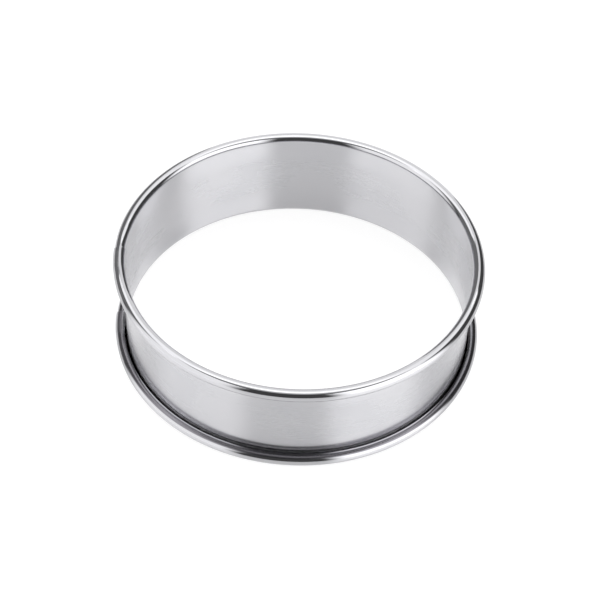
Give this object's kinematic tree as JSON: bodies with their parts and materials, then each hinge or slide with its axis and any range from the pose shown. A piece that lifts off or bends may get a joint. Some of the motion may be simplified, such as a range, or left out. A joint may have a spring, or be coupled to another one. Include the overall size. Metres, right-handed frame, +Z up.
{
  "type": "tart ring",
  "caption": "Round bottomless baking ring of thin stainless sheet, with a wired bead rolled outward along each edge and a lapped, spot-welded seam.",
  "frame": {"origin": "on the ring's axis, in the plane that the lower bead stands on", "axes": "+Z up along the ring's axis; the lap is on the -X side; -Y faces the camera of the picture"},
  "size_m": [0.0856, 0.0856, 0.0245],
  "materials": {
    "sheet": "bright rolled stainless sheet: satin walls, burnished beads",
    "wire": "plain drawn steel wire",
    "weld": "spot weld nugget, dull"
  },
  "bodies": {
    "root": {"ring_band": "sheet", "upper_bead_wire": "wire", "lower_bead_wire": "wire", "spot_weld_upper": "weld", "spot_weld_middle": "weld", "spot_weld_lower": "weld"}
  },
  "joints": []
}
